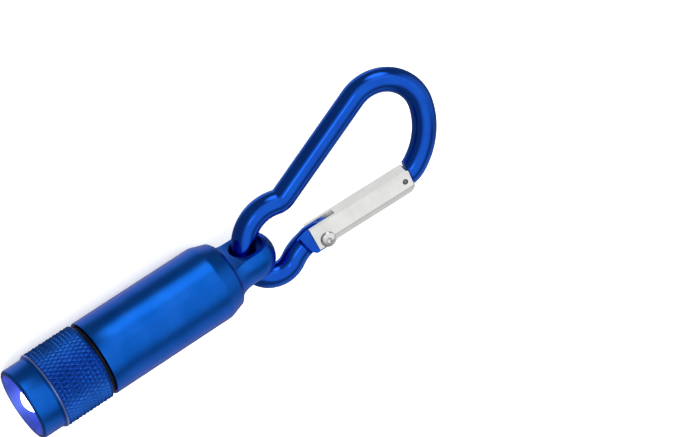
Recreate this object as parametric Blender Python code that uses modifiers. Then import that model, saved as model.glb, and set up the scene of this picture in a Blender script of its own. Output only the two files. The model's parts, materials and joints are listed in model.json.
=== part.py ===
"""Keychain flashlight with a small carabiner clip.

The torch lies on its side: its axis runs along Y with the lamp facing -Y, and the clip's loop
passes through the lug at its tail. Sizes are in millimetres and are turned into metres by MM.
Turned pieces are drawn in the torch's own frame, whose Z runs from the lamp's rim to the tail.
"""

import bmesh
import bpy
from math import cos, pi, radians, sin
from mathutils import Euler, Vector

MM = 0.001

# ---- head -----------------------------------------------------------------------------------
RIM_OUTER = 5.95            # radius of the smooth front ring
RIM_ROUND = 0.45            # rounding of the ring's front edge
RIM_FLAT = 0.3              # width of the flat face around the cup's mouth
RIM_LENGTH = 2.5
GRIP_RADIUS = 6.36          # over the knurl
GRIP_START = 3.1
HEAD_LENGTH = 11.5
CUP_DEPTH = 4.6
THREAD_BORE = 5.35
THREAD_START = 7.9

# ---- barrel ---------------------------------------------------------------------------------
BARREL_RADIUS = 6.25
SPIGOT_RADIUS = 5.2
SPIGOT_START = 8.7
HEAD_GAP = 0.7              # groove between head and barrel that holds the O-ring
BATTERY_BORE = 4.45
BORE_END = 31.5
SHOULDER_START = 34.55
SHOULDER_END = 37.3
SHOULDER_RADIUS = 5.37
NECK_START = 40.6
NECK_RADIUS = 4.1
LUG_CENTRE = 42.1           # distance of the cross hole from the rim
LUG_FLATS = 4.56            # distance between the two milled flats
FLAT_START = 37.6
LUG_HOLE = 2.75             # radius of the cross hole
HOLE_CHAMFER = 0.35

# ---- lamp and its holder --------------------------------------------------------------------
LED_RADIUS = 2.5
LED_TIP = 0.25
LED_LENGTH = 8.65
LED_FLANGE = 2.9
FLANGE_THICK = 0.9
LEAD_SPACING = 2.54
LEAD_RADIUS = 0.2
HOLDER_FRONT = 9.4
HOLDER_REAR = 10.8
HOLDER_RADIUS = 4.25

# ---- battery stack (four LR41 cells) ----------------------------------------------------------
CELL_COUNT = 4
CELL_RADIUS = 3.95
CELL_HEIGHT = 3.6
CELL_GAP = 0.05
STACK_START = 11.7
SLEEVE_INNER = 4.05
SLEEVE_OUTER = 4.3

# ---- clip: all points lie in its own plane, seen from +Z, with the lug's centre at (0, 0) ------
WIRE_RADIUS = 1.95
WIRE_START = (7.23, -4.89)
WIRE_HEADING = 175.5
# each bend is (radius, angle); positive turns left; a radius of None is a straight of that length
WIRE_ROUTE = (
    (7.1, 23.6),            # out of the flattened tongue
    (3.95, -122.0),         # bottom of the small loop
    (6.6, -110.0),          # through the lug and round to the neck
    (2.4, 40.0),            # neck
    (None, 18.4),           # spine
    (6.3, -124.0),          # crown
    (11.9, -50.0),          # round to the nose
    (4.0, -24.0),           # last curl, in line with the gate
)
CLIP_YAW = 114.2            # heading of the clip's long axis in the ground plane
CLIP_PITCH = -5.7
CLIP_ROLL = -16.5
CLIP_SHIFT = (0.6, 0.0, 0.1)  # rest place of the wire in the lug hole, off its centre
RIVET_AT = (10.33, -6.69)
GATE_HEADING = -17.9
GATE_OUTER = -0.94          # gate's outer and inner side, measured from the rivet
GATE_INNER = 2.86
GATE_THICK = 3.4
GATE_TAIL = -1.9
GATE_NOSE = 16.0
HINGE_SLOT_END = 2.9
NOSE_SLOT_START = 13.4
NOSE_WALL = 0.85            # wall that closes the nose slot on its inner side
SLOT_WIDTH = 1.7
TONGUE_THICK = 1.5
TONGUE_OUTER = -1.65
TONGUE_INNER = 2.8
NOSE_RISE = 0.3             # how far the tongue's outer edge rises towards the wire's middle
WIRE_END = 16.25            # where the wire stops, just clear of the gate's nose
RIVET_RADIUS = 0.75
RIVET_HEAD = 1.25
RIVET_HEAD_HEIGHT = 0.5
RUNNING_GAP = 0.1
PIN_AT = (14.8, 1.3)
PIN_RADIUS = 0.4
SPRING_BORE = 0.6


# ---- scene helpers ----------------------------------------------------------------------------
def clear_scene():
    for item in list(bpy.data.objects):
        bpy.data.objects.remove(item)


def new_collection(name):
    group = bpy.data.collections.new(name)
    bpy.context.scene.collection.children.link(group)
    return group


def make_material(name, color, roughness, metallic, emission=0.0):
    material = bpy.data.materials.new(name)
    material.use_nodes = True
    shader = material.node_tree.nodes["Principled BSDF"]
    shader.inputs["Base Color"].default_value = (*color, 1.0)
    shader.inputs["Roughness"].default_value = roughness
    shader.inputs["Metallic"].default_value = metallic
    if emission:
        shader.inputs["Emission Color"].default_value = (*color, 1.0)
        shader.inputs["Emission Strength"].default_value = emission
    return material


def add_empty(name, parent=None, location=(0, 0, 0), rotation=(0, 0, 0)):
    empty = bpy.data.objects.new(name, None)
    PARTS.objects.link(empty)
    empty.parent = parent
    empty.location = Vector(location) * MM
    empty.rotation_euler = Euler([radians(angle) for angle in rotation], "XYZ")
    return empty


def add_object(name, data, parent, material=None, location=(0, 0, 0), rotation=(0, 0, 0)):
    item = bpy.data.objects.new(name, data)
    PARTS.objects.link(item)
    item.parent = parent
    item.location = Vector(location) * MM
    item.rotation_euler = Euler([radians(angle) for angle in rotation], "XYZ")
    if material:
        item.data.materials.append(material)
    return item


def as_cutter(item):
    PARTS.objects.unlink(item)
    CUTTERS.objects.link(item)
    item.hide_render = True
    item.display_type = "WIRE"
    return item


def boolean(item, tool, operation="DIFFERENCE"):
    as_cutter(tool)
    step = item.modifiers.new(tool.name, "BOOLEAN")
    step.operation = operation
    step.object = tool
    return item


def baked_mesh(item):
    """Turn a curve object into a mesh object with its caps welded."""
    bpy.context.view_layer.update()
    evaluated = item.evaluated_get(bpy.context.evaluated_depsgraph_get())
    mesh = bpy.data.meshes.new_from_object(evaluated)
    work = bmesh.new()
    work.from_mesh(mesh)
    bmesh.ops.remove_doubles(work, verts=work.verts, dist=0.001 * MM)
    bmesh.ops.recalc_face_normals(work, faces=work.faces)
    work.to_mesh(mesh)
    work.free()
    solid = bpy.data.objects.new(item.name + "_solid", mesh)
    PARTS.objects.link(solid)
    solid.parent = item.parent
    solid.location = item.location
    solid.rotation_euler = item.rotation_euler
    name = item.name
    bpy.data.objects.remove(item)
    solid.name = name
    return solid


# ---- outline helpers --------------------------------------------------------------------------
def arc(centre, radius, start, end, steps):
    """Points on an arc, from start to end in degrees, both ends included."""
    points = []
    for step in range(steps + 1):
        angle = radians(start + (end - start) * step / steps)
        points.append((centre[0] + radius * cos(angle), centre[1] + radius * sin(angle)))
    return points


def signed_area(points):
    following = points[1:] + points[:1]
    return sum(a[0] * b[1] - b[0] * a[1] for a, b in zip(points, following)) / 2


def turned(name, outline, parent, material=None, segments=48, **place):
    """Turn an outline of (radius, height) points about Z. It may start and end on the axis."""
    points = list(outline)
    if signed_area(points) > 0:
        points.reverse()
    on_axis = [index for index, point in enumerate(points) if point[0] == 0]
    closed = not on_axis
    if on_axis and on_axis != [0, len(points) - 1]:
        points = points[on_axis[1]:] + points[:on_axis[1]]
    edges = [(index, index + 1) for index in range(len(points) - 1)]
    if closed:
        edges.append((len(points) - 1, 0))
    mesh = bpy.data.meshes.new(name)
    mesh.from_pydata([(radius * MM, 0, height * MM) for radius, height in points], edges, [])
    item = add_object(name, mesh, parent, material, **place)
    screw = item.modifiers.new("turn", "SCREW")
    screw.axis = "Z"
    screw.steps = segments
    screw.render_steps = segments
    screw.use_merge_vertices = True
    screw.merge_threshold = 0.001 * MM
    screw.use_smooth_shade = True
    return item


def plate(name, outline, thickness, parent, material=None, **place):
    """A flat solid from an outline in the XY plane, centred on it."""
    curve = bpy.data.curves.new(name, "CURVE")
    curve.dimensions = "2D"
    curve.fill_mode = "BOTH"
    curve.extrude = thickness * MM / 2
    spline = curve.splines.new("POLY")
    spline.points.add(len(outline) - 1)
    for point, (x, y) in zip(spline.points, outline):
        point.co = (x * MM, y * MM, 0, 1)
    spline.use_cyclic_u = True
    solid = baked_mesh(add_object(name, curve, parent, **place))
    if material:
        solid.data.materials.append(material)
    return solid


def box(name, low, high, parent):
    """A box between two corners."""
    mesh = bpy.data.meshes.new(name)
    work = bmesh.new()
    bmesh.ops.create_cube(work, size=1.0)
    for vert in work.verts:
        vert.co = [(lo + (side + 0.5) * (hi - lo)) * MM for side, lo, hi in zip(vert.co, low, high)]
    work.to_mesh(mesh)
    work.free()
    return add_object(name, mesh, parent)


def rod(name, radius, start, end, parent, material=None, segments=24, at=(0, 0)):
    """A round rod along Z."""
    mesh = bpy.data.meshes.new(name)
    work = bmesh.new()
    bmesh.ops.create_cone(work, cap_ends=True, segments=segments, radius1=radius * MM,
                          radius2=radius * MM, depth=(end - start) * MM)
    work.to_mesh(mesh)
    work.free()
    return add_object(name, mesh, parent, material, location=(*at, (start + end) / 2))


def wire(name, points, radius, parent, material=None, resolution=2):
    """A round wire through 3-D points."""
    curve = bpy.data.curves.new(name, "CURVE")
    curve.dimensions = "3D"
    curve.bevel_depth = radius * MM
    curve.bevel_resolution = resolution
    curve.use_fill_caps = True
    spline = curve.splines.new("POLY")
    spline.points.add(len(points) - 1)
    for point, place in zip(spline.points, points):
        point.co = (place[0] * MM, place[1] * MM, place[2] * MM, 1)
    return add_object(name, curve, parent, material)


def chamfer(item, width):
    bevel = item.modifiers.new("chamfer", "BEVEL")
    bevel.width = width * MM
    bevel.segments = 1
    bevel.limit_method = "ANGLE"
    bevel.angle_limit = radians(40)
    return item


# ---- torch ------------------------------------------------------------------------------------
def build_head(axis, material):
    mouth = RIM_OUTER - RIM_ROUND - RIM_FLAT
    throat = LED_RADIUS + RUNNING_GAP
    edge = 0.2
    outline = [(mouth, 0)]
    outline += arc((RIM_OUTER - RIM_ROUND, RIM_ROUND), RIM_ROUND, -90, 0, 4)
    outline += [(RIM_OUTER, RIM_LENGTH), (GRIP_RADIUS, GRIP_START)]
    outline += [(GRIP_RADIUS, HEAD_LENGTH - edge), (GRIP_RADIUS - edge, HEAD_LENGTH)]
    outline += [(THREAD_BORE, HEAD_LENGTH), (THREAD_BORE, THREAD_START)]
    outline += [(throat, THREAD_START), (throat, CUP_DEPTH)]
    return turned("head_shell", outline, axis, material)


def build_barrel(axis, material):
    face = HEAD_LENGTH + HEAD_GAP
    edge = 0.15
    flare_height = NECK_START - SHOULDER_END
    flare_width = SHOULDER_RADIUS - NECK_RADIUS
    outline = [(BATTERY_BORE, SPIGOT_START), (SPIGOT_RADIUS - edge, SPIGOT_START)]
    outline += [(SPIGOT_RADIUS, SPIGOT_START + edge), (SPIGOT_RADIUS, face)]
    outline += [(BARREL_RADIUS - edge, face), (BARREL_RADIUS, face + edge)]
    outline += [(BARREL_RADIUS, SHOULDER_START)]
    outline += [(NECK_RADIUS + flare_width * (1 - sin(angle)), NECK_START - flare_height * cos(angle))
                for angle in (radians(15 * step) for step in range(7))]
    outline += arc((0, LUG_CENTRE), NECK_RADIUS, 0, 90, 8)[:-1]
    outline += [(0, LUG_CENTRE + NECK_RADIUS), (0, BORE_END), (BATTERY_BORE, BORE_END)]
    barrel = turned("barrel", outline, axis, material)
    reach = BARREL_RADIUS + 1
    for side in (-1, 1):
        inner, outer = sorted((side * LUG_FLATS / 2, side * reach))
        slab = box(f"flat_cutter_{'left' if side < 0 else 'right'}", (inner, -reach, FLAT_START),
                   (outer, reach, LUG_CENTRE + reach), axis)
        boolean(barrel, slab)
    half = LUG_FLATS / 2
    chamfered = [(LUG_HOLE + 2 * HOLE_CHAMFER, -half - HOLE_CHAMFER), (LUG_HOLE, -half + HOLE_CHAMFER),
                 (LUG_HOLE, half - HOLE_CHAMFER), (LUG_HOLE + 2 * HOLE_CHAMFER, half + HOLE_CHAMFER)]
    drill_outline = [(0, -half - HOLE_CHAMFER)] + chamfered + [(0, half + HOLE_CHAMFER)]
    drill = turned("lug_drill", drill_outline, axis, segments=32, location=(0, 0, LUG_CENTRE),
                   rotation=(0, 90, 0))
    return boolean(barrel, drill)


def build_o_ring(axis, material):
    thickness = 0.3
    major = SPIGOT_RADIUS + thickness + RUNNING_GAP
    centre = (major, HEAD_LENGTH + HEAD_GAP / 2)
    return turned("o_ring", arc(centre, thickness, 0, 324, 9), axis, material)


def build_lamp(axis, body, chip, metal):
    base = LED_TIP + LED_LENGTH
    centre = LED_TIP + LED_RADIUS
    outline = [(0, LED_TIP)] + arc((0, centre), LED_RADIUS, -80, 0, 8)
    outline += [(LED_RADIUS, base - FLANGE_THICK), (LED_FLANGE, base - FLANGE_THICK)]
    outline += [(LED_FLANGE, base), (0, base)]
    lamp = turned("led_lamp", outline, axis, body, segments=32)
    cavity_top = 3.7
    half = (LEAD_SPACING / 2 + 2 * LEAD_RADIUS, 0.6)
    boolean(lamp, box("lead_cavity", (-half[0], -half[1], cavity_top), (half[0], half[1], base + 1), axis))
    die_height = 0.3
    turned("led_chip", [(0, cavity_top + 0.15), (0.5, cavity_top + 0.15),
                        (0.5, cavity_top + 0.15 + die_height), (0, cavity_top + 0.15 + die_height)],
           axis, chip, segments=16)
    side = LEAD_SPACING / 2
    anvil = cavity_top + 0.15 + die_height + 0.1 + LEAD_RADIUS
    # The negative lead carries the die, then folds out in front of the barrel's spigot.
    fold = THREAD_START + 0.35
    edge = 3.35
    negative = [(0, 0, anvil), (-side, 0, anvil), (-side, 0, base + 0.25)]
    negative += [(-edge, 0, base + 0.25), (-edge, 0, fold), (-4.9, 0, fold)]
    wire("lead_negative", negative, LEAD_RADIUS, axis, metal)
    # The positive lead runs through the holder and folds in behind it.
    behind = HOLDER_REAR + 0.25
    positive = [(side, 0, anvil + 1), (side, 0, behind), (0, 0, behind)]
    wire("lead_positive", positive, LEAD_RADIUS, axis, metal)
    return lamp


def build_holder(axis, plastic, brass):
    outline = [(0, HOLDER_FRONT), (HOLDER_RADIUS, HOLDER_FRONT)]
    outline += [(HOLDER_RADIUS, HOLDER_REAR), (0, HOLDER_REAR)]
    holder = turned("led_holder", outline, axis, plastic)
    lead_hole = rod("lead_hole", LEAD_RADIUS + RUNNING_GAP, HOLDER_FRONT - 1, HOLDER_REAR + 1, axis,
                    segments=12, at=(LEAD_SPACING / 2, 0))
    boolean(holder, lead_hole)
    front = HOLDER_REAR + 0.25 + LEAD_RADIUS + 0.05
    rear = STACK_START - RUNNING_GAP
    disc = [(0, front), (1.8, front), (1.8, rear), (0, rear)]
    turned("contact_disc", disc, axis, brass, segments=32)


def build_cells(axis, steel, plastic):
    corner = 0.35
    cap_radius = 3.1
    cap_height = 0.3
    for index in range(CELL_COUNT):
        front = STACK_START + index * (CELL_HEIGHT + CELL_GAP)
        shoulder = front + CELL_HEIGHT - cap_height
        outline = [(0, front)] + arc((CELL_RADIUS - corner, front + corner), corner, -90, 0, 3)
        outline += [(CELL_RADIUS, shoulder - 0.15), (CELL_RADIUS - 0.2, shoulder)]
        outline += [(cap_radius + 0.15, shoulder), (cap_radius, shoulder + 0.1)]
        outline += [(cap_radius, front + CELL_HEIGHT), (0, front + CELL_HEIGHT)]
        turned(f"battery_cell_{index + 1}", outline, axis, steel, segments=32)
    end = STACK_START + CELL_COUNT * (CELL_HEIGHT + CELL_GAP)
    tube = [(SLEEVE_INNER, STACK_START), (SLEEVE_OUTER, STACK_START)]
    tube += [(SLEEVE_OUTER, end), (SLEEVE_INNER, end)]
    turned("battery_sleeve", tube, axis, plastic)
    return end


def build_tail_spring(axis, material, start):
    turns = 5
    steps = 12
    thickness = 0.2
    low = start + thickness + 0.05
    high = BORE_END - thickness - 0.05
    narrow, wide = 1.9, 3.5
    points = []
    for step in range(turns * steps + 1):
        share = step / (turns * steps)
        angle = 2 * pi * step / steps
        radius = narrow + (wide - narrow) * share
        points.append((radius * cos(angle), radius * sin(angle), low + (high - low) * share))
    wire("tail_spring", points, thickness, axis, material, resolution=1)


# ---- clip -------------------------------------------------------------------------------------
def wire_route():
    """Walk the bends in the clip's plane and return the points of the wire's centre line."""
    step_angle = 10
    x, y = WIRE_START
    heading = radians(WIRE_HEADING)
    points = [(x, y, 0)]
    for radius, amount in WIRE_ROUTE:
        if radius is None:
            x += amount * cos(heading)
            y += amount * sin(heading)
            points.append((x, y, 0))
            continue
        count = max(2, round(abs(amount) / step_angle))
        turn = radians(amount) / count
        chord = 2 * radius * sin(abs(turn) / 2)
        for _ in range(count):
            x += chord * cos(heading + turn / 2)
            y += chord * sin(heading + turn / 2)
            heading += turn
            points.append((x, y, 0))
    return points


def build_hook(clip, pivot, material):
    hook = baked_mesh(wire("carabiner_hook", wire_route(), WIRE_RADIUS, clip, material, resolution=6))
    far = 4.0
    boolean(hook, box("nose_trim", (WIRE_END - far, -far, -far), (WIRE_END, far + 2, far), pivot))
    tongue = [(-4.4, TONGUE_OUTER + 0.3)]
    tongue += arc((0, 0), -TONGUE_OUTER, -90, 0, 4)
    tongue += arc((0.35, 0.9), TONGUE_INNER - 0.9, 0, 90, 4)
    tongue += [(-4.4, TONGUE_INNER - 0.3)]
    boolean(hook, plate("hinge_tongue", tongue, TONGUE_THICK, pivot), "UNION")
    notch = PIN_RADIUS + 0.15
    inner = GATE_INNER - NOSE_WALL - 0.1
    nose = [(NOSE_SLOT_START + 0.25, GATE_OUTER + 0.4), (NOSE_SLOT_START + 0.65, GATE_OUTER)]
    nose += [(GATE_NOSE - 0.1, GATE_OUTER), (GATE_NOSE + 0.15, NOSE_RISE)]
    nose += [(WIRE_END + 0.9, NOSE_RISE + 0.5), (WIRE_END + 0.9, inner), (PIN_AT[0] + notch, inner)]
    nose += arc(PIN_AT, notch, 0, -180, 6)
    nose += [(PIN_AT[0] - notch, inner), (NOSE_SLOT_START + 0.25, inner)]
    boolean(hook, plate("nose_tongue", nose, TONGUE_THICK, pivot), "UNION")
    boolean(hook, rod("tongue_hole", RIVET_RADIUS + RUNNING_GAP, -3, 3, pivot))
    return hook


def build_gate(pivot, material):
    big, small = 1.2, 0.6
    outline = [(GATE_TAIL, GATE_OUTER)]
    outline += arc((GATE_NOSE - big, GATE_OUTER + big), big, -90, 0, 4)
    outline += arc((GATE_NOSE - small, GATE_INNER - small), small, 0, 90, 3)
    outline += [(GATE_TAIL, GATE_INNER)]
    gate = chamfer(plate("gate", outline, GATE_THICK, pivot, material), 0.35)
    half = SLOT_WIDTH / 2
    boolean(gate, box("hinge_slot", (GATE_TAIL - 1, GATE_OUTER - 1, -half),
                      (HINGE_SLOT_END, GATE_INNER + 1, half), pivot))
    boolean(gate, box("nose_slot", (NOSE_SLOT_START, GATE_OUTER - 1, -half),
                      (GATE_NOSE + 1, GATE_INNER - NOSE_WALL, half), pivot))
    boolean(gate, rod("gate_rivet_hole", RIVET_RADIUS + RUNNING_GAP, -3, 3, pivot))
    boolean(gate, rod("gate_pin_hole", PIN_RADIUS + 0.05, -3, 3, pivot, segments=16, at=PIN_AT))
    middle = (GATE_OUTER + GATE_INNER) / 2
    bore = rod("gate_spring_bore", SPRING_BORE, -3.5, 3.5, pivot, segments=16)
    bore.rotation_euler = (0, pi / 2, 0)
    bore.location = Vector((HINGE_SLOT_END + 2.5, middle, 0)) * MM
    return boolean(gate, bore)


def build_rivet(pivot, material):
    face = GATE_THICK / 2 + 0.05
    top = face + RIVET_HEAD_HEIGHT
    dome = [(RIVET_HEAD, face), (RIVET_HEAD, face + 0.15), (RIVET_HEAD * 0.8, top - 0.12),
            (RIVET_HEAD * 0.45, top)]
    lower = [(radius, -height) for radius, height in reversed(dome)]
    outline = [(0, -top)] + lower + [(RIVET_RADIUS, -face), (RIVET_RADIUS, face)] + dome + [(0, top)]
    return turned("gate_rivet", outline, pivot, material, segments=24)


def build_gate_trim(pivot, steel):
    reach = GATE_THICK / 2 - 0.05
    rod("latch_pin", PIN_RADIUS, -reach, reach, pivot, steel, segments=16, at=PIN_AT)
    middle = (GATE_OUTER + GATE_INNER) / 2
    points = [(8.3, middle, 0), (3.4, middle, 0), (2.75, middle + 0.25, 0), (2.6, middle + 0.7, 0)]
    wire("gate_spring", points, 0.2, pivot, steel)


# ---- placing ----------------------------------------------------------------------------------
def settle(frame):
    """Move the whole assembly so that the origin is the bottom centre of its bounding box."""
    bpy.context.view_layer.update()
    depsgraph = bpy.context.evaluated_depsgraph_get()
    corners = []
    for item in PARTS.objects:
        if item.type == "EMPTY":
            continue
        evaluated = item.evaluated_get(depsgraph)
        mesh = evaluated.to_mesh()
        corners += [evaluated.matrix_world @ vert.co for vert in mesh.vertices]
        evaluated.to_mesh_clear()
    low = [min(corner[axis] for corner in corners) for axis in range(3)]
    high = [max(corner[axis] for corner in corners) for axis in range(3)]
    frame.location = (-(low[0] + high[0]) / 2, -(low[1] + high[1]) / 2, -low[2])
    bpy.context.view_layer.update()


def build():
    satin_blue = make_material("satin_blue_anodising", (0.0, 0.09, 0.52), 0.38, 1.0)
    gloss_blue = make_material("gloss_blue_anodising", (0.0, 0.06, 0.5), 0.12, 1.0)
    aluminium = make_material("plain_aluminium", (0.78, 0.77, 0.75), 0.3, 1.0)
    rubber = make_material("black_rubber", (0.02, 0.02, 0.02), 0.6, 0.0)
    glow = make_material("led_resin", (0.95, 0.95, 1.0), 0.1, 0.0, emission=2.0)
    phosphor = make_material("led_phosphor", (0.95, 0.85, 0.3), 0.6, 0.0)
    plastic = make_material("white_plastic", (0.85, 0.85, 0.82), 0.5, 0.0)
    brass = make_material("brass", (0.75, 0.55, 0.25), 0.3, 1.0)
    steel = make_material("bright_steel", (0.7, 0.7, 0.7), 0.25, 1.0)

    frame = add_empty("flashlight_frame")
    axis = add_empty("torch_axis", frame, rotation=(-90, 0, 0))
    build_head(axis, satin_blue)
    build_barrel(axis, satin_blue)
    build_o_ring(axis, rubber)
    build_lamp(axis, glow, phosphor, steel)
    build_holder(axis, plastic, brass)
    stack_end = build_cells(axis, steel, plastic)
    build_tail_spring(axis, steel, stack_end)

    lug = add_empty("lug_centre", frame, (0, LUG_CENTRE, 0))
    clip = add_empty("clip_frame", lug, CLIP_SHIFT, (CLIP_ROLL, CLIP_PITCH, CLIP_YAW))
    pivot = add_empty("gate_pivot", clip, (*RIVET_AT, 0), (0, 0, GATE_HEADING))
    build_hook(clip, pivot, gloss_blue)
    build_gate(pivot, aluminium)
    build_rivet(pivot, aluminium)
    build_gate_trim(pivot, steel)
    settle(frame)


clear_scene()
PARTS = new_collection("keychain_flashlight")
CUTTERS = new_collection("cutters")
build()
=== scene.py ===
"""Looks for the keychain flashlight: a satin blue torch with a knurled twist head, on a glossy blue
wire clip with a plain aluminium gate. Sizes are in millimetres and become metres through MM. The
pieces are built in the same local frames as the CAD: AXIS runs from the head's rim to the tail,
CLIP is the clip's own plane, and PIVOT is the gate's hinge with +X along the gate.
"""

import bmesh
import bpy
import json
from math import cos, floor, hypot, pi, radians, sin, sqrt, tan
from mathutils import Euler, Matrix, Vector


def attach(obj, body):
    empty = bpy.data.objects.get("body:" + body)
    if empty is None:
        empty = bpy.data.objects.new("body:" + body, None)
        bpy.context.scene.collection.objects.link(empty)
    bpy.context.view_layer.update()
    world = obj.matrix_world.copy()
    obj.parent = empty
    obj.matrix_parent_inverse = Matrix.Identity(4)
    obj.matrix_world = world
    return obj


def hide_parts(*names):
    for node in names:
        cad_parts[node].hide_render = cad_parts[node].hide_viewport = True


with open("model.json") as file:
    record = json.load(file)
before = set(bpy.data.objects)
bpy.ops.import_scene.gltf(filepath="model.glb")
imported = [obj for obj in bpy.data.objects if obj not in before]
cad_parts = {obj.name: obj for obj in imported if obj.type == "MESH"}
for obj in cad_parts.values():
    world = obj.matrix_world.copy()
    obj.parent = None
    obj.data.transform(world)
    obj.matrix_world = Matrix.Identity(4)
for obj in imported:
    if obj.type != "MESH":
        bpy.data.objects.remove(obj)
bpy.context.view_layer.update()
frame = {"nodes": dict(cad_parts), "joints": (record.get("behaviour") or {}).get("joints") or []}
MM = 0.001

# ---- torch; heights run from the CAD's front plane to the tail --------------------------------
RIM_OUTER = 5.95            # radius of the smooth front ring
RIM_ROUND = 0.45
RIM_FLAT = 0.3              # width of the lip round the cup
RIM_LENGTH = 3.3
RIM_REACH = 0.2             # how far the ring's front edge stands out
LIP_ROUND = 0.05
SLOPE_RISE = 0.27           # slope from the ring up to the grip, as far as the chamfer that carries a painted highlight
SLOPE_LENGTH = 0.4
GRIP_RADIUS = 6.36          # over the knurl's tips
GRIP_START = 3.9
HEAD_LENGTH = 12.2
HEAD_EDGE = 0.2             # chamfer at the head's open end
GRIP_END = HEAD_LENGTH - 0.15    # where the grooves have run out
CUP_DEPTH = 4.6
THREAD_BORE = 5.35
THREAD_START = 7.9
KNURL_COUNT = 54            # grooves of each hand round the head
KNURL_ANGLE = 30.0          # of the grooves to the head's axis
KNURL_DEPTH = 0.3
KNURL_FLAT = 0.05           # share of a groove's spacing that stays flat between two grooves
KNURL_FADE = 0.25           # length over which the grooves run out
KNURL_STEPS = 9             # mesh columns across one groove
KNURL_ROW = 0.09            # spacing of the mesh rows
BARREL_RADIUS = 6.25
BARREL_EDGE = 0.15
SPIGOT_RADIUS = 5.2
SPIGOT_START = 8.7
HEAD_GAP = 0.7              # groove between the head and the barrel
SEAL_RADIUS = 0.3           # of the seal's round section
BATTERY_BORE = 4.45
BORE_END = 31.5
SHOULDER_START = 34.55      # cone
SHOULDER_END = 37.3
SHOULDER_RADIUS = 5.37
SHOULDER_BLENDS = (0.35, 0.45)    # at the cone's two ends
NECK_START = 40.6
NECK_RADIUS = 4.1
LUG_CENTRE = 42.1
LUG_FLATS = 4.56
FLAT_START = 37.6
LUG_HOLE = 2.75
LUG_ROUND = 0.22
LED_RADIUS = 2.5
LED_TIP = 0.05
LED_LENGTH = 8.85
LED_FLANGE = 2.9
FLANGE_THICK = 0.9
POCKET_RADIUS = 1.7         # room for the chip and the leads inside the LED's body
POCKET_START = 3.7
LAMP_GLOW = 6.0             # strength of its light

# ---- clip -------------------------------------------------------------------------------------
WIRE_RADIUS = 1.95
WIRE_SIDES = 40             # mesh faces round the wire
WIRE_START = (7.23, -4.89)
WIRE_HEADING = 175.5
WIRE_ROUTE = (              # (radius, angle) bends; positive turns left; None is a straight
    (7.1, 23.6),            # out of the flattened tongue
    (3.95, -122.0),         # bottom of the small loop
    (6.6, -110.0),          # through the lug and round to the neck
    (2.4, 40.0),            # neck
    (None, 18.4),           # spine
    (6.3, -124.0),          # crown
    (11.9, -50.0),          # round to the nose
    (4.0, -24.0),           # last curl, in line with the gate
)
CLIP_TURN = (-16.5, -5.7, 114.2)
CLIP_SHIFT = (0.6, 0.0, 0.1)
RIVET_AT = (10.33, -6.69)
GATE_HEADING = -17.9
GATE_OUTER = -0.94          # the gate's sizes are in its own frame, from the rivet
GATE_INNER = 2.86
GATE_THICK = 3.4
GATE_TAIL = -1.9
GATE_NOSE = 16.0
OUTER_ROUND = 1.3           # the nose's corners
INNER_ROUND = 0.4
OUTER_CHAMFER = 0.2
GATE_ROUND = 0.1            # on all other sharp edges
STRIP_WIDTH = 1.1           # sloped strip along the gate's outer side
STRIP_DROP = 0.45
HINGE_SLOT_END = 2.9
NOSE_SLOT_START = 13.4
NOSE_WALL = 0.85
SLOT_WIDTH = 1.7
TONGUE_THICK = 1.5
TONGUE_OUTER = -1.65
TONGUE_INNER = 2.8
TONGUE_CORNER = (0.35, 0.9)    # centre of the round at the tongue's inner corner
TONGUE_SWELL = 0.3          # extra height of the tongue behind the rivet
WIRE_END = 16.12
NOSE_RISE = 0.3             # outer side of the nose tongue where it leaves the gate
RIVET_RADIUS = 0.75
RIVET_HEAD = 1.25
RIVET_HEAD_HEIGHT = 0.5
RIVET_DIMPLE = ((0.45, 0.02), (0.36, 0.16), (0.2, 0.28), (0, 0.3))    # (radius, depth) of its hollow
RUNNING_GAP = 0.1
PIN_AT = (14.8, 1.3)
PIN_RADIUS = 0.4
PIN_EDGE = 0.08
SPRING_HOLE = 0.6           # radius of the blind hole for the gate's spring
SPRING_DEPTH = 6.0

# ---- frames of the parts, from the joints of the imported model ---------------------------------
JOINTS = {joint["name"]: joint for joint in frame["joints"]}
LUG = Vector(JOINTS["clip_swing"]["pos_m"])
AXIS = (Matrix.Translation(Vector((LUG.x, LUG.y - LUG_CENTRE * MM, LUG.z)))
        @ Matrix.Rotation(-pi / 2, 4, "X"))
CLIP = (Matrix.Translation(LUG + Vector(CLIP_SHIFT) * MM)
        @ Euler([radians(angle) for angle in CLIP_TURN], "XYZ").to_matrix().to_4x4())
PIVOT = (CLIP @ Matrix.Translation(Vector((*RIVET_AT, 0)) * MM)
         @ Matrix.Rotation(radians(GATE_HEADING), 4, "Z"))


# ---- material helpers -------------------------------------------------------------------------
NOISE_LOW = 0.3             # nearly all of a noise's values lie between these two
NOISE_HIGH = 0.7
METAL_CLOUD = 0.25          # scales of the noises, per millimetre
PLASTIC_CLOUD = 0.6
PLASTIC_GRAIN = 6.0
PLASTIC_DEPTH = 0.004


def new_material(name):
    material = bpy.data.materials.new(name)
    material.use_nodes = True
    tree = material.node_tree
    return material, tree, tree.nodes["Principled BSDF"]


def coordinates(tree, stretch=(1, 1, 1)):
    """Object coordinates in millimetres, stretched along each axis."""
    source = tree.nodes.new("ShaderNodeTexCoord")
    scale = tree.nodes.new("ShaderNodeMapping")
    scale.inputs["Scale"].default_value = [factor / MM for factor in stretch]
    tree.links.new(source.outputs["Object"], scale.inputs["Vector"])
    return scale.outputs["Vector"]


def noise(tree, vector, scale, detail=3.0, roughness=0.5):
    node = tree.nodes.new("ShaderNodeTexNoise")
    node.inputs["Scale"].default_value = scale
    node.inputs["Detail"].default_value = detail
    node.inputs["Roughness"].default_value = roughness
    tree.links.new(vector, node.inputs["Vector"])
    return node.outputs["Fac"]


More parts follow.
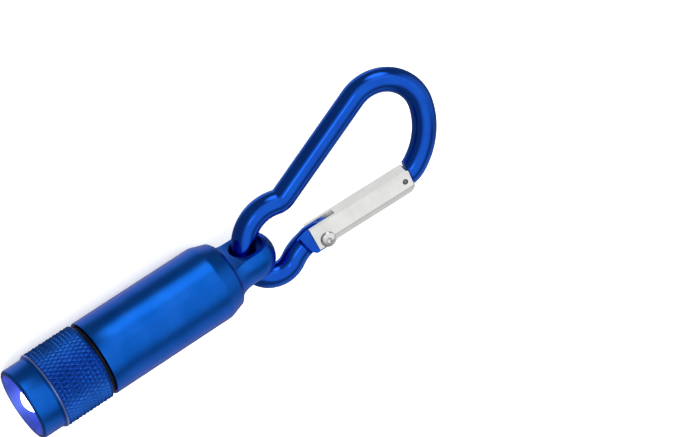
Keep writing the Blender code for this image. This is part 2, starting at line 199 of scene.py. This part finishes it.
def ramp(tree, factor, stops):
    node = tree.nodes.new("ShaderNodeValToRGB")
    elements = node.color_ramp.elements
    while len(elements) < len(stops):
        elements.new(0.5)
    for element, (place, color) in zip(elements, stops):
        element.position = place
        element.color = (*color, 1.0)
    tree.links.new(factor, node.inputs["Fac"])
    return node.outputs["Color"]


def spread(tree, factor, low, high):
    """Map a noise onto low..high."""
    node = tree.nodes.new("ShaderNodeMapRange")
    node.inputs["From Min"].default_value = NOISE_LOW
    node.inputs["From Max"].default_value = NOISE_HIGH
    node.inputs["To Min"].default_value = low
    node.inputs["To Max"].default_value = high
    tree.links.new(factor, node.inputs["Value"])
    return node.outputs["Result"]


def bump(tree, shader, height, distance):
    node = tree.nodes.new("ShaderNodeBump")
    node.inputs["Strength"].default_value = 1.0
    node.inputs["Distance"].default_value = distance * MM
    tree.links.new(height, node.inputs["Height"])
    tree.links.new(node.outputs["Normal"], shader.inputs["Normal"])


def metal(name, dark, light, roughness, stretch, grain=2.0, depth=0.003, tint=None, coat=0.0,
          coat_roughness=0.1):
    """Metal with a soft colour cloud, uneven roughness and a fine grain stretched along one way."""
    material, tree, shader = new_material(name)
    even = coordinates(tree)
    along = coordinates(tree, stretch)
    cloud = ramp(tree, noise(tree, even, METAL_CLOUD), ((0.35, dark), (0.65, light)))
    tree.links.new(cloud, shader.inputs["Base Color"])
    grain_noise = noise(tree, along, grain, detail=4.0, roughness=0.6)
    tree.links.new(spread(tree, grain_noise, roughness[0], roughness[1]), shader.inputs["Roughness"])
    bump(tree, shader, grain_noise, depth)
    shader.inputs["Metallic"].default_value = 1.0
    if tint:
        shader.inputs["Specular Tint"].default_value = (*tint, 1.0)
    shader.inputs["Coat Weight"].default_value = coat
    shader.inputs["Coat Roughness"].default_value = coat_roughness
    return material


def plastic(name, dark, light, roughness, specular=0.5):
    material, tree, shader = new_material(name)
    even = coordinates(tree)
    cloud = ramp(tree, noise(tree, even, PLASTIC_CLOUD), ((0.3, dark), (0.7, light)))
    tree.links.new(cloud, shader.inputs["Base Color"])
    fine = noise(tree, even, PLASTIC_GRAIN, detail=5.0)
    tree.links.new(spread(tree, fine, roughness[0], roughness[1]), shader.inputs["Roughness"])
    bump(tree, shader, fine, PLASTIC_DEPTH)
    shader.inputs["Specular IOR Level"].default_value = specular
    return material


def radial_distance(tree, centre):
    """Distance in millimetres from the line through centre along the torch."""
    source = tree.nodes.new("ShaderNodeTexCoord")
    offset = tree.nodes.new("ShaderNodeVectorMath")
    offset.operation = "SUBTRACT"
    offset.inputs[1].default_value = centre
    flatten = tree.nodes.new("ShaderNodeVectorMath")
    flatten.operation = "MULTIPLY"
    flatten.inputs[1].default_value = (1 / MM, 0, 1 / MM)
    length = tree.nodes.new("ShaderNodeVectorMath")
    length.operation = "LENGTH"
    tree.links.new(source.outputs["Object"], offset.inputs[0])
    tree.links.new(offset.outputs["Vector"], flatten.inputs[0])
    tree.links.new(flatten.outputs["Vector"], length.inputs[0])
    return length.outputs["Value"]


def lamp_resin(name):
    """Lit clear resin: white in the middle of the dome, violet at its rim."""
    material, tree, shader = new_material(name)
    reach = tree.nodes.new("ShaderNodeMapRange")
    reach.inputs["From Min"].default_value = 0.0
    reach.inputs["From Max"].default_value = LED_RADIUS
    tree.links.new(radial_distance(tree, AXIS.translation), reach.inputs["Value"])
    glow = ramp(tree, reach.outputs["Result"],
                ((0.0, (1.0, 1.0, 1.0)), (0.6, (0.7, 0.75, 1.0)), (0.97, (0.09, 0.11, 0.45))))
    tree.links.new(glow, shader.inputs["Emission Color"])
    shader.inputs["Emission Strength"].default_value = LAMP_GLOW
    shader.inputs["Base Color"].default_value = (0.85, 0.87, 1.0, 1.0)
    shader.inputs["Roughness"].default_value = 0.08
    return material


SATIN_BLUE = metal("satin_blue_anodising", (0.0, 0.095, 0.49), (0.004, 0.115, 0.56), (0.25, 0.34),
                   (1, 14, 1), depth=0.001, tint=(0.8, 0.75, 0.95), coat=0.1, coat_roughness=0.3)
KNURL_BLUE = metal("knurled_blue_anodising", (0.0, 0.085, 0.45), (0.004, 0.11, 0.56), (0.2, 0.32),
                   (3, 3, 3), depth=0.001, tint=(0.85, 0.8, 0.95), coat=0.3, coat_roughness=0.15)
# Lighter violet blue on the chamfer between the ring and the grip: a painted highlight, laid all the way
# round.
CHAMFER_PAINTED_HIGHLIGHT_BLUE = metal("chamfer_painted_highlight_blue", (0.3, 0.4, 0.9), (0.42, 0.5, 1.0), (0.2, 0.3),
                  (3, 3, 3), depth=0.001)
# Lighter violet blue inside the lamp's cup: painted glow of the lamp on the cup's walls.
CUP_PAINTED_GLOW_BLUE = metal("cup_painted_lamp_glow_blue", (0.12, 0.2, 0.85), (0.16, 0.24, 0.95), (0.42, 0.52),
                 (3, 3, 3), depth=0.001, coat=0.3, coat_roughness=0.2)
GLOSS_BLUE = metal("gloss_blue_anodising", (0.0, 0.07, 0.50), (0.0, 0.09, 0.57), (0.07, 0.13),
                   (2, 2, 2), grain=1.2, depth=0.0008, tint=(0.6, 0.75, 1.0), coat=0.25,
                   coat_roughness=0.05)
ALUMINIUM = metal("plain_aluminium", (0.78, 0.77, 0.74), (0.86, 0.85, 0.82), (0.2, 0.27),
                  (1, 1, 8), depth=0.0004)
RIVET_METAL = metal("rivet_aluminium", (0.7, 0.69, 0.67), (0.85, 0.84, 0.82), (0.2, 0.3),
                    (3, 3, 3), depth=0.001)
DARK_STEEL = metal("dark_steel", (0.1, 0.1, 0.11), (0.2, 0.2, 0.21), (0.3, 0.4),
                   (2, 2, 2), depth=0.001)
STEEL = metal("bright_steel", (0.55, 0.55, 0.56), (0.68, 0.68, 0.69), (0.15, 0.28), (2, 2, 2))
BRASS = metal("brass", (0.6, 0.42, 0.16), (0.75, 0.55, 0.25), (0.2, 0.32), (2, 2, 2))
RUBBER = plastic("black_rubber", (0.002, 0.002, 0.004), (0.006, 0.006, 0.009), (0.7, 0.85),
                 specular=0.15)
WHITE_PLASTIC = plastic("white_plastic", (0.78, 0.78, 0.75), (0.86, 0.86, 0.83), (0.4, 0.5))
PHOSPHOR = plastic("led_phosphor", (0.85, 0.72, 0.2), (0.95, 0.85, 0.35), (0.5, 0.7))
RESIN = lamp_resin("lit_resin")


# ---- mesh helpers -----------------------------------------------------------------------------
def finish_mesh(name, mesh, place, material, sharp=35.0):
    """Put a mesh drawn in a local frame in place, shade it and give it its material."""
    mesh.transform(Matrix.Scale(MM, 4))
    mesh.transform(place)
    mesh.shade_smooth()
    mesh.set_sharp_from_angle(angle=radians(sharp))
    mesh.materials.append(material)
    item = bpy.data.objects.new(name, mesh)
    bpy.context.scene.collection.objects.link(item)
    return item


def arc(centre, radius, start, end, steps):
    points = []
    for step in range(steps + 1):
        angle = radians(start + (end - start) * step / steps)
        points.append((centre[0] + radius * cos(angle), centre[1] + radius * sin(angle)))
    return points


def fillet(corner, before, after, radius, steps=4):
    """Points of a soft blend at a corner of an outline, from the side before to the side after."""
    corner, before, after = Vector(corner), Vector(before), Vector(after)
    start = corner + (before - corner).normalized() * radius
    end = corner + (after - corner).normalized() * radius
    points = []
    for step in range(steps + 1):
        share = step / steps
        points.append(tuple(start.lerp(corner, share).lerp(corner.lerp(end, share), share)))
    return points


def lathe(outline, segments, closed, push=None):
    """Turn an outline of (radius, height) points about Z. push gives how far in a point moves."""
    work = bmesh.new()
    rings = []
    for radius, height in outline:
        if radius == 0:
            rings.append([work.verts.new((0, 0, height))])
            continue
        ring = []
        for step in range(segments):
            angle = 2 * pi * step / segments
            reach = radius - (push(angle, radius, height) if push else 0)
            ring.append(work.verts.new((reach * cos(angle), reach * sin(angle), height)))
        rings.append(ring)
    pairs = list(zip(rings, rings[1:]))
    if closed:
        pairs.append((rings[-1], rings[0]))
    for low, high in pairs:
        for step in range(segments):
            after = (step + 1) % segments
            if len(low) == 1:
                work.faces.new((low[0], high[step], high[after]))
            elif len(high) == 1:
                work.faces.new((low[step], high[0], low[after]))
            else:
                work.faces.new((low[step], high[step], high[after], low[after]))
    bmesh.ops.recalc_face_normals(work, faces=work.faces)
    return as_mesh(work)


def as_mesh(work):
    mesh = bpy.data.meshes.new("shape")
    work.to_mesh(mesh)
    work.free()
    return mesh


def prism(outline, low, high):
    """A flat outline in XY, stretched from low to high in Z."""
    work = bmesh.new()
    rings = [[work.verts.new((x, y, height)) for x, y in outline] for height in (low, high)]
    count = len(outline)
    for step in range(count):
        after = (step + 1) % count
        work.faces.new((rings[0][step], rings[0][after], rings[1][after], rings[1][step]))
    work.faces.new(rings[0])
    work.faces.new(rings[1])
    bmesh.ops.recalc_face_normals(work, faces=work.faces)
    return as_mesh(work)


def block(low, high):
    corners = [(low[0], low[1]), (high[0], low[1]), (high[0], high[1]), (low[0], high[1])]
    return prism(corners, low[2], high[2])


def drill(radius, low, high, at=(0, 0), segments=48):
    outline = arc(at, radius, 0, 360 - 360 / segments, segments - 1)
    return prism(outline, low, high)


def carve(mesh, *tools):
    """Apply booleans and modifiers in order. A tool is (operation, mesh) or a function."""
    item = bpy.data.objects.new("work", mesh)
    bpy.context.scene.collection.objects.link(item)
    helpers = []
    for tool in tools:
        if callable(tool):
            tool(item)
            continue
        operation, shape = tool
        helper = bpy.data.objects.new("tool", shape)
        bpy.context.scene.collection.objects.link(helper)
        helpers.append(helper)
        step = item.modifiers.new("cut", "BOOLEAN")
        step.operation = operation
        step.solver = "EXACT"
        step.object = helper
    bpy.context.view_layer.update()
    evaluated = item.evaluated_get(bpy.context.evaluated_depsgraph_get())
    result = bpy.data.meshes.new_from_object(evaluated)
    for extra in [item] + helpers:
        bpy.data.objects.remove(extra)
    return result


def round_edges(width, segments, angle):
    """A tool for carve that rounds the edges sharper than an angle in degrees."""
    def add(item):
        bevel = item.modifiers.new("round", "BEVEL")
        bevel.width = width
        bevel.segments = segments
        bevel.limit_method = "ANGLE"
        bevel.angle_limit = radians(angle)
        bevel.miter_outer = "MITER_ARC"
        bevel.use_clamp_overlap = True
    return add


# ---- torch ------------------------------------------------------------------------------------
def knurl(angle, radius, height):
    """Depth of the crossed helical grooves at a point of the grip."""
    fade = min(1.0, (height - GRIP_START) / KNURL_FADE, (GRIP_END - height) / KNURL_FADE)
    if fade <= 0 or radius < GRIP_RADIUS - 0.01:
        return 0.0
    turned = height * tan(radians(KNURL_ANGLE)) / (2 * pi * GRIP_RADIUS)
    deepest = 0.0
    for hand in (-1, 1):
        place = KNURL_COUNT * (angle / (2 * pi) + hand * turned)
        deepest = max(deepest, abs(place - floor(place) - 0.5) * 2)
    return fade * KNURL_DEPTH * max(0.0, deepest - KNURL_FLAT) / (1 - KNURL_FLAT)


def make_head():
    mouth = RIM_OUTER - RIM_ROUND - RIM_FLAT
    throat = LED_RADIUS + RUNNING_GAP
    slope_top = RIM_LENGTH + SLOPE_LENGTH
    front = fillet((mouth, 0), (mouth, 1), (mouth + 1, 0), LIP_ROUND, 2)
    front += arc((RIM_OUTER - RIM_ROUND, RIM_ROUND), RIM_ROUND, -90, 0, 8)
    outline = [(radius, height - RIM_REACH) for radius, height in front]
    outline += [(RIM_OUTER, RIM_LENGTH - 0.05), (RIM_OUTER + 0.03, RIM_LENGTH + 0.02)]
    outline += [(RIM_OUTER + SLOPE_RISE, slope_top)]
    outline += [(GRIP_RADIUS - 0.04, GRIP_START - 0.05), (GRIP_RADIUS, GRIP_START + 0.01)]
    knurled = HEAD_LENGTH - HEAD_EDGE - GRIP_START
    rows = round(knurled / KNURL_ROW)
    outline += [(GRIP_RADIUS, GRIP_START + knurled * row / rows) for row in range(1, rows + 1)]
    outline += [(GRIP_RADIUS - HEAD_EDGE, HEAD_LENGTH), (THREAD_BORE, HEAD_LENGTH)]
    outline += [(THREAD_BORE, THREAD_START), (throat, THREAD_START), (throat, CUP_DEPTH)]
    mesh = lathe(outline, KNURL_COUNT * KNURL_STEPS, True, knurl)
    skins = [SATIN_BLUE, KNURL_BLUE, CHAMFER_PAINTED_HIGHLIGHT_BLUE, CUP_PAINTED_GLOW_BLUE]
    head = finish_mesh("knurled_head", mesh, AXIS, skins[0], sharp=30.0)
    for extra in skins[1:]:
        head.data.materials.append(extra)
    to_axis = AXIS.inverted()
    for face in head.data.polygons:
        spot = (to_axis @ face.center) / MM
        reach = hypot(spot.x, spot.y)
        if GRIP_START < spot.z < GRIP_END and reach > GRIP_RADIUS - KNURL_DEPTH - 0.05:
            face.material_index = skins.index(KNURL_BLUE)
        # The chamfer up to the grip takes the painted highlight.
        elif slope_top < spot.z < GRIP_START and reach > RIM_OUTER:
            face.material_index = skins.index(CHAMFER_PAINTED_HIGHLIGHT_BLUE)
        # The inside of the cup takes the painted glow of the lamp.
        elif 0 < spot.z < CUP_DEPTH and reach < mouth:
            face.material_index = skins.index(CUP_PAINTED_GLOW_BLUE)
    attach(head, "head")
    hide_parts("head_shell")


def neck_flare(angle):
    """Point of the hollow curve that leads from the cone, at 0 degrees, to the neck, at 90."""
    turn = radians(angle)
    return (NECK_RADIUS + (SHOULDER_RADIUS - NECK_RADIUS) * (1 - sin(turn)),
            NECK_START - (NECK_START - SHOULDER_END) * cos(turn))


def make_barrel():
    face = HEAD_LENGTH + HEAD_GAP
    edge = BARREL_EDGE
    cone_start = (BARREL_RADIUS, SHOULDER_START)
    cone_end = (SHOULDER_RADIUS, SHOULDER_END)
    outline = [(0, BORE_END), (BATTERY_BORE, BORE_END), (BATTERY_BORE, SPIGOT_START)]
    outline += [(SPIGOT_RADIUS - edge, SPIGOT_START), (SPIGOT_RADIUS, SPIGOT_START + edge)]
    outline += [(SPIGOT_RADIUS, face), (BARREL_RADIUS - edge, face)]
    outline += [(BARREL_RADIUS - 0.04, face + 0.04), (BARREL_RADIUS, face + edge)]
    outline += [(BARREL_RADIUS, face + (SHOULDER_START - face) * step / 6) for step in range(1, 6)]
    outline += fillet(cone_start, (BARREL_RADIUS, face), cone_end, SHOULDER_BLENDS[0])
    outline += fillet(cone_end, cone_start, neck_flare(15), SHOULDER_BLENDS[1])
    outline += [neck_flare(7.5 * step) for step in range(4, 13)]
    outline += arc((0, LUG_CENTRE), NECK_RADIUS, 0, 90, 16)[:-1]
    outline += [(0, LUG_CENTRE + NECK_RADIUS)]
    body = lathe(outline, 128, False)
    reach = BARREL_RADIUS + 1
    half = LUG_FLATS / 2
    left = block((-reach, -reach, FLAT_START), (-half, reach, LUG_CENTRE + reach))
    right = block((half, -reach, FLAT_START), (reach, reach, LUG_CENTRE + reach))
    hole = drill(LUG_HOLE, -reach, reach)
    hole.transform(Matrix.Translation((0, 0, LUG_CENTRE)) @ Matrix.Rotation(pi / 2, 4, "Y"))
    body = carve(body, ("DIFFERENCE", left), ("DIFFERENCE", right), ("DIFFERENCE", hole))
    soft = carve(body, round_edges(LUG_ROUND, 3, 40.0))
    barrel = finish_mesh("turned_barrel", soft, AXIS, SATIN_BLUE, sharp=40.0)
    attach(barrel, "torch")
    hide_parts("barrel")


def make_o_ring():
    major = SPIGOT_RADIUS + SEAL_RADIUS + RUNNING_GAP
    ring = arc((major, HEAD_LENGTH + HEAD_GAP / 2), SEAL_RADIUS, 0, 345, 23)
    seal = finish_mesh("round_seal", lathe(ring, 128, True), AXIS, RUBBER, sharp=60.0)
    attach(seal, "torch")
    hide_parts("o_ring")


def make_lamp():
    base = LED_TIP + LED_LENGTH
    outline = [(0, LED_TIP)] + arc((0, LED_TIP + LED_RADIUS), LED_RADIUS, -85, 0, 17)
    outline += [(LED_RADIUS, base - FLANGE_THICK), (LED_FLANGE, base - FLANGE_THICK), (LED_FLANGE, base)]
    outline += [(POCKET_RADIUS, base), (POCKET_RADIUS, POCKET_START), (0, POCKET_START)]
    lamp = finish_mesh("domed_lamp", lathe(outline, 96, False), AXIS, RESIN)
    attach(lamp, "head")
    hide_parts("led_lamp")


# ---- clip -------------------------------------------------------------------------------------
def wire_route():
    """Walk the bends and return places (x, y, heading) along the wire's centre line."""
    x, y = WIRE_START
    heading = radians(WIRE_HEADING)
    spots = [(x, y, heading)]
    for radius, amount in WIRE_ROUTE:
        if radius is None:
            pieces = 12
            for _ in range(pieces):
                x += amount / pieces * cos(heading)
                y += amount / pieces * sin(heading)
                spots.append((x, y, heading))
            continue
        count = max(6, round(abs(amount) / 3))
        turn = radians(amount) / count
        chord = 2 * radius * sin(abs(turn) / 2)
        for _ in range(count):
            x += chord * cos(heading + turn / 2)
            y += chord * sin(heading + turn / 2)
            heading += turn
            spots.append((x, y, heading))
    return spots


def tongue_sections():
    """Sections of the pressed tongue, from its round end to the wire: (place, low, high), in the
    gate's frame. Its outer corner is round about the rivet, its inner one about TONGUE_CORNER.
    """
    radius = TONGUE_INNER - TONGUE_CORNER[1] - 0.15
    middle = (TONGUE_OUTER + TONGUE_INNER) / 2
    steps = 8
    sections = []
    for step in range(1, steps + 1):
        angle = pi / 2 * step / steps
        place = -TONGUE_OUTER * cos(angle)
        past = max(0.0, (place - TONGUE_CORNER[0]) / radius)
        high = TONGUE_CORNER[1] + radius * sqrt(1 - past ** 2)
        highest = middle + 1.1 * step      # keeps the very end from being blunt
        sections.append((place, TONGUE_OUTER * sin(angle), min(high, highest)))
    sections += [(place, TONGUE_OUTER, TONGUE_INNER + TONGUE_SWELL) for place in (-0.7, -2.4)]
    return sections


def side_of(heading):
    """Direction in the clip's plane, square to the wire."""
    return sin(heading), -cos(heading)


def section_ring(work, centre, across, half_width, half_thick):
    """A round section that is cut flat at half_thick above and below the clip's plane."""
    ring = []
    for step in range(WIRE_SIDES):
        angle = 2 * pi * step / WIRE_SIDES
        rise = max(-half_thick, min(half_thick, WIRE_RADIUS * sin(angle)))
        ring.append(work.verts.new((centre[0] + across[0] * half_width * cos(angle),
                                    centre[1] + across[1] * half_width * cos(angle), rise)))
    return ring


def nose_outline():
    """The flat tongue at the wire's end, which fills the gate's nose and is notched for the pin."""
    start = NOSE_SLOT_START + 0.25
    corner = 0.4
    outer = GATE_OUTER + 0.4
    inner = GATE_INNER - NOSE_WALL - RUNNING_GAP
    root = WIRE_END + 0.9
    notch = PIN_RADIUS + 0.15
    outline = [(start, outer + corner), (start + corner, outer), (GATE_NOSE - 0.9, outer)]
    outline += [(GATE_NOSE + 0.1, NOSE_RISE), (root, NOSE_RISE + 0.5), (root, inner)]
    outline += [(PIN_AT[0] + notch, inner)] + arc(PIN_AT, notch, 0, -180, 10)
    outline += [(PIN_AT[0] - notch, inner), (start, inner)]
    return outline


def make_hook():
    work = bmesh.new()
    thin = TONGUE_THICK / 2
    turn = radians(GATE_HEADING)
    gate_x = Vector((cos(turn), sin(turn)))
    gate_y = Vector((-sin(turn), cos(turn)))
    rings = []
    for place, low, high in tongue_sections():
        middle = Vector(RIVET_AT) + gate_x * place + gate_y * ((low + high) / 2)
        rings.append(section_ring(work, middle, gate_y, (high - low) / 2, thin))
    # The pressed tongue changes to the full wire in a short step, which takes up three places.
    route = wire_route()
    x, y, heading = route[0]
    ahead = Vector((cos(heading), sin(heading)))
    for step, half_thick in ((-0.1, thin), (0.35, WIRE_RADIUS)):
        spot = Vector((x, y)) + ahead * step
        rings.append(section_ring(work, spot, side_of(heading), WIRE_RADIUS, half_thick))
    for x, y, heading in route[3:]:
        rings.append(section_ring(work, (x, y), side_of(heading), WIRE_RADIUS, WIRE_RADIUS))
    for near, far in zip(rings, rings[1:]):
        for step in range(len(near)):
            after = (step + 1) % len(near)
            work.faces.new((near[step], near[after], far[after], far[step]))
    work.faces.new(rings[0])
    work.faces.new(rings[-1])
    bmesh.ops.recalc_face_normals(work, faces=work.faces)
    body = as_mesh(work)
    to_clip = Matrix.Translation((*RIVET_AT, 0)) @ Matrix.Rotation(turn, 4, "Z")
    far = 4.0
    trim = block((WIRE_END - far, -far, -far), (WIRE_END, far + 2, far))
    trim.transform(to_clip)
    tongue = prism(nose_outline(), -thin, thin)
    tongue.transform(to_clip)
    hole = drill(RIVET_RADIUS + 0.02, -far, far)
    hole.transform(to_clip)
    body = carve(body, ("DIFFERENCE", trim), ("UNION", tongue), ("DIFFERENCE", hole))
    hook = finish_mesh("bent_wire_hook", body, CLIP, GLOSS_BLUE, sharp=32.0)
    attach(hook, "clip")
    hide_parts("carabiner_hook")


def gate_bar():
    """The gate's bar: rounded at the nose, and chamfered along its outer side."""
    outline = [(GATE_TAIL, GATE_OUTER)]
    outline += arc((GATE_NOSE - OUTER_ROUND, GATE_OUTER + OUTER_ROUND), OUTER_ROUND, -90, 0, 8)
    outline += arc((GATE_NOSE - INNER_ROUND, GATE_INNER - INNER_ROUND), INNER_ROUND, 0, 90, 6)
    outline += [(GATE_TAIL, GATE_INNER)]
    work = bmesh.new()
    work.from_mesh(prism(outline, -GATE_THICK / 2, GATE_THICK / 2))
    outer_edges = []
    for edge in work.edges:
        one, other = (vert.co for vert in edge.verts)
        upright = abs(one.z - other.z) > 0.1
        outside = max(one.y, other.y) < GATE_OUTER + OUTER_ROUND + 0.01
        at_tail = max(one.x, other.x) < GATE_TAIL + 0.1
        if outside and not upright and not at_tail:
            outer_edges.append(edge)
    bmesh.ops.bevel(work, geom=outer_edges, offset=OUTER_CHAMFER, segments=1, profile=0.5,
                    affect="EDGES", clamp_overlap=False)
    return as_mesh(work)


def gate_strip(side):
    """Wedge that slopes the outer strip of one face of the gate; side is 1 for the upper face and
    -1 for the lower one. Its section is drawn in the gate's YZ plane and stretched along X.
    """
    top = GATE_THICK / 2
    slope = STRIP_DROP / STRIP_WIDTH
    edge = GATE_OUTER + STRIP_WIDTH
    inside = edge + 1
    outside = edge - 3
    section = [(edge, top), (inside, top + (inside - edge) * slope), (inside, top + 1)]
    section += [(outside, top + 1), (outside, top + (outside - edge) * slope)]
    wedge = prism([(y, side * z) for y, z in section], RIVET_HEAD, GATE_NOSE + 1)
    wedge.transform(Matrix(((0, 0, 1, 0), (1, 0, 0, 0), (0, 1, 0, 0), (0, 0, 0, 1))))
    return wedge


def make_gate():
    bar = gate_bar()
    far = 3.0
    half = SLOT_WIDTH / 2
    hinge = block((GATE_TAIL - 1, GATE_OUTER - 1, -half), (HINGE_SLOT_END, GATE_INNER + 1, half))
    nose = block((NOSE_SLOT_START, GATE_OUTER - 1, -half), (GATE_NOSE + 1, GATE_INNER - NOSE_WALL, half))
    middle = (GATE_OUTER + GATE_INNER) / 2
    spring = drill(SPRING_HOLE, -1, SPRING_DEPTH, segments=24)
    spring.transform(Matrix.Translation((HINGE_SLOT_END, middle, 0)) @ Matrix.Rotation(pi / 2, 4, "Y"))
    body = carve(bar, ("DIFFERENCE", hinge), ("DIFFERENCE", nose),
                 ("DIFFERENCE", gate_strip(1)), ("DIFFERENCE", gate_strip(-1)),
                 ("DIFFERENCE", drill(RIVET_RADIUS + RUNNING_GAP, -far, far)),
                 ("DIFFERENCE", drill(PIN_RADIUS + RUNNING_GAP / 2, -far, far, PIN_AT, 24)),
                 ("DIFFERENCE", spring))
    body = carve(body, round_edges(GATE_ROUND, 2, 50.0))
    gate = finish_mesh("satin_gate", body, PIVOT, ALUMINIUM, sharp=22.0)
    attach(gate, "gate")
    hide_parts("gate")


def make_rivet():
    face = (GATE_THICK + RUNNING_GAP) / 2
    top = face + RIVET_HEAD_HEIGHT
    edge = 0.08
    upper = [(RIVET_RADIUS, face), (RIVET_HEAD - edge, face), (RIVET_HEAD, face + edge)]
    upper += [(RIVET_HEAD * cos(radians(angle)), face + edge + (top - face - edge) * sin(radians(angle)))
              for angle in (15, 30, 45, 58, 68)]
    upper += [(radius, top - depth) for radius, depth in RIVET_DIMPLE]
    lower = [(radius, -height) for radius, height in reversed(upper)]
    outline = lower + upper
    rivet = finish_mesh("domed_rivet", lathe(outline, 48, False), PIVOT, RIVET_METAL, sharp=50.0)
    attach(rivet, "clip")
    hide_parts("gate_rivet")


def make_pin():
    reach = (GATE_THICK - RUNNING_GAP) / 2
    upper = [(PIN_RADIUS, reach - PIN_EDGE), (PIN_RADIUS - PIN_EDGE, reach), (0, reach)]
    lower = [(radius, -height) for radius, height in reversed(upper)]
    outline = lower + upper
    place = PIVOT @ Matrix.Translation(Vector((*PIN_AT, 0)) * MM)
    pin = finish_mesh("latch_cross_pin", lathe(outline, 32, False), place, DARK_STEEL)
    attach(pin, "gate")
    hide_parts("latch_pin")


def dress_inner_parts():
    """Materials for the pieces inside, whose CAD shapes stay."""
    finishes = {
        "led_chip": PHOSPHOR,
        "lead_positive": STEEL,
        "lead_negative": STEEL,
        "led_holder": WHITE_PLASTIC,
        "contact_disc": BRASS,
        "battery_sleeve": WHITE_PLASTIC,
        "tail_spring": STEEL,
        "gate_spring": STEEL,
    }
    for index in range(1, 5):
        finishes[f"battery_cell_{index}"] = STEEL
    for name, material in finishes.items():
        item = frame["nodes"][name]
        item.data.materials.clear()
        item.data.materials.append(material)


# ---- studio -----------------------------------------------------------------------------------
VIEW_RIGHT = Vector((0.2627, 0.797, 0.5441)).normalized()
VIEW_BACK = VIEW_RIGHT.cross(Vector((-0.7686, 0.514, -0.3823))).normalized()
VIEW_UP = VIEW_BACK.cross(VIEW_RIGHT).normalized()
VIEW_OFFSET = (15.48, 5.95, 475.0)    # right, up and back from the lug's centre
VIEW_ROLL = -0.5            # degrees about the line of sight through the lug's centre
LENS = 158.8
SENSOR_WIDTH = 36.0
FLOOR_DROP = 0.3            # the floor lies this much below the part


def make_camera():
    data = bpy.data.cameras.new("camera")
    data.lens = LENS
    data.sensor_width = SENSOR_WIDTH
    data.clip_start = 0.01
    camera = bpy.data.objects.new("camera", data)
    bpy.context.scene.collection.objects.link(camera)
    turn = Matrix((VIEW_RIGHT, VIEW_UP, VIEW_BACK)).transposed().to_4x4()
    away = VIEW_RIGHT * VIEW_OFFSET[0] + VIEW_UP * VIEW_OFFSET[1] + VIEW_BACK * VIEW_OFFSET[2]
    roll = Matrix.Rotation(radians(VIEW_ROLL), 4, VIEW_BACK)
    camera.matrix_world = Matrix.Translation(LUG) @ roll @ Matrix.Translation(away * MM) @ turn
    bpy.context.scene.camera = camera


def make_floor():
    material, tree, shader = new_material("pale_floor")
    shader.inputs["Base Color"].default_value = (0.93, 0.93, 0.93, 1.0)
    shader.inputs["Roughness"].default_value = 0.9
    shader.inputs["Specular IOR Level"].default_value = 0.1
    shader.inputs["Emission Color"].default_value = (1.0, 1.0, 1.0, 1.0)
    shader.inputs["Emission Strength"].default_value = 0.35
    work = bmesh.new()
    bmesh.ops.create_grid(work, x_segments=1, y_segments=1, size=1.5)
    mesh = as_mesh(work)
    mesh.materials.append(material)
    floor = bpy.data.objects.new("floor", mesh)
    floor.location = (0, 0, -FLOOR_DROP * MM)
    bpy.context.scene.collection.objects.link(floor)
    floor.visible_glossy = False


# Soft panels of the studio: (direction to the middle, angle in degrees of the part at full strength,
# angle at which it has faded away, strength)
PANELS = (
    ((-0.30, -0.05, 0.95), 22.0, 58.0, 0.80),   # overhead
    ((-0.94, 0.32, 0.17), 6.0, 22.0, 1.9),      # low on the left
    ((-0.75, 0.32, 0.55), 6.0, 24.0, 0.45),     # between the two
    ((0.92, 0.27, 0.15), 12.0, 45.0, 0.5),      # low on the right
    ((-0.50, -0.45, 0.74), 3.0, 9.0, 1.2),      # small one in front
    ((0.0, 0.85, 0.50), 12.0, 42.0, 0.5),       # behind the tail
    ((-0.21, 0.26, -0.94), 14.0, 36.0, 0.62),   # white table below
)
FILL = 0.24                 # strength of the surround between the panels
FLOOR_LIGHT = 3.2
FLOOR_LIGHT_ANGLE = 150     # very wide, so that it casts hardly any shadow


def make_lights():
    """A dim surround with soft panels, and one broad light that evens out the floor. It isn't
    mirrored in the metal.
    """
    world = bpy.data.worlds.new("studio")
    world.use_nodes = True
    tree = world.node_tree
    backdrop = tree.nodes["Background"]
    backdrop.inputs["Color"].default_value = (0.97, 0.98, 1.0, 1.0)
    way = tree.nodes.new("ShaderNodeTexCoord").outputs["Generated"]
    total = tree.nodes.new("ShaderNodeValue")
    total.outputs[0].default_value = FILL
    total = total.outputs[0]
    for direction, inner, outer, strength in PANELS:
        dot = tree.nodes.new("ShaderNodeVectorMath")
        dot.operation = "DOT_PRODUCT"
        dot.inputs[1].default_value = Vector(direction).normalized()
        tree.links.new(way, dot.inputs[0])
        edge = tree.nodes.new("ShaderNodeMapRange")
        edge.interpolation_type = "SMOOTHSTEP"
        edge.inputs["From Min"].default_value = cos(radians(outer))
        edge.inputs["From Max"].default_value = cos(radians(inner))
        edge.inputs["To Max"].default_value = strength
        tree.links.new(dot.outputs["Value"], edge.inputs["Value"])
        add = tree.nodes.new("ShaderNodeMath")
        tree.links.new(total, add.inputs[0])
        tree.links.new(edge.outputs["Result"], add.inputs[1])
        total = add.outputs[0]
    tree.links.new(total, backdrop.inputs["Strength"])
    bpy.context.scene.world = world
    data = bpy.data.lights.new("floor_light", "SUN")
    data.angle = radians(FLOOR_LIGHT_ANGLE)
    data.energy = FLOOR_LIGHT
    light = bpy.data.objects.new("floor_light", data)
    light.rotation_euler = Vector((0.05, 0.0, 1.0)).to_track_quat("Z", "Y").to_euler()
    light.visible_glossy = False
    bpy.context.scene.collection.objects.link(light)


make_head()
make_barrel()
make_o_ring()
make_lamp()
make_hook()
make_gate()
make_rivet()
make_pin()
dress_inner_parts()
make_camera()
make_floor()
make_lights()
bpy.context.scene.view_settings.view_transform = "Standard"
